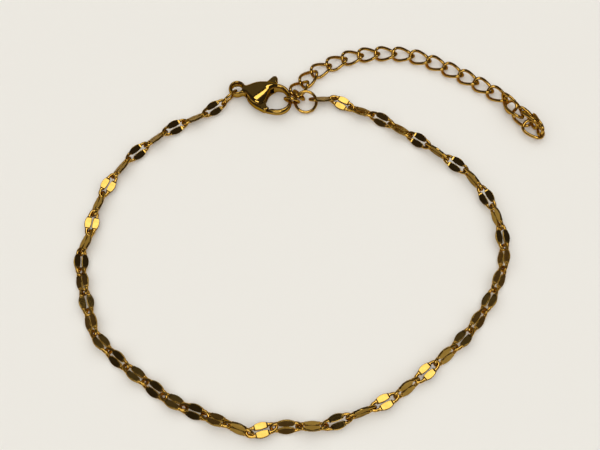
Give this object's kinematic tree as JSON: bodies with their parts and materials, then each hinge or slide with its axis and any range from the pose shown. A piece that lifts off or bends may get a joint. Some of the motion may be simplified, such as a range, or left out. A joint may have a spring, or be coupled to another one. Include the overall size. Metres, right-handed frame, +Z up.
{
  "type": "chain bracelet",
  "caption": "Fine gilt chain bracelet of flat stamped links laid in a loop, with a lobster clasp, an end ring and a short curb extender chain.",
  "frame": {"origin": "under the middle of the laid bracelet's bounding box, on the surface that it lies on", "axes": "+Z up from the surface, +X across the loop towards the extender's free end, +Y towards the clasp's side of the loop"},
  "size_m": [0.0678, 0.0614, 0.0027],
  "materials": {
    "gilt_stamping": "mirror-polished gold plating on flat stamped pads",
    "gilt_steel": "polished gold plating"
  },
  "bodies": {
    "bracelet": {"link_01": "gilt_stamping", "link_02": "gilt_stamping", "link_03": "gilt_stamping", "link_04": "gilt_stamping", "link_05": "gilt_stamping", "link_06": "gilt_stamping", "link_07": "gilt_stamping", "link_08": "gilt_stamping", "link_09": "gilt_stamping", "link_10": "gilt_stamping", "link_11": "gilt_stamping", "link_12": "gilt_stamping", "link_13": "gilt_stamping", "link_14": "gilt_stamping", "link_15": "gilt_stamping", "link_16": "gilt_stamping", "link_17": "gilt_stamping", "link_18": "gilt_stamping", "link_19": "gilt_stamping", "link_20": "gilt_stamping", "link_21": "gilt_stamping", "link_22": "gilt_stamping", "link_23": "gilt_stamping", "link_24": "gilt_stamping", "link_25": "gilt_stamping", "link_26": "gilt_stamping", "link_27": "gilt_stamping", "link_28": "gilt_stamping", "link_29": "gilt_stamping", "link_30": "gilt_stamping", "link_31": "gilt_stamping", "link_32": "gilt_stamping", "link_33": "gilt_stamping", "link_34": "gilt_stamping", "link_35": "gilt_stamping", "link_36": "gilt_stamping", "link_37": "gilt_stamping", "link_38": "gilt_stamping", "link_39": "gilt_stamping", "link_40": "gilt_stamping", "link_run_41_44": "gilt_stamping", "link_run_45_48": "gilt_stamping", "eye_link": "gilt_steel", "split_ring": "gilt_steel", "end_ring": "gilt_steel", "extender_run_1": "gilt_steel", "extender_run_2": "gilt_steel", "extender_run_3": "gilt_steel", "extender_run_4": "gilt_steel", "extender_run_5": "gilt_steel", "extender_run_6": "gilt_steel", "extender_run_7": "gilt_steel", "clasp_body": "gilt_steel", "clasp_pin": "gilt_steel"},
    "lever": {"clasp_lever": "gilt_steel"}
  },
  "joints": [
    {"name": "lever_hinge", "type": "hinge", "parent": "bracelet", "child": "lever", "pos_m": [-0.00973, 0.02132, 0.00115], "axis": [0, 0, 1], "range_deg": [0, 20], "stiffness_Nm_per_rad": 0.002, "springref_deg": -20.05}
  ]
}
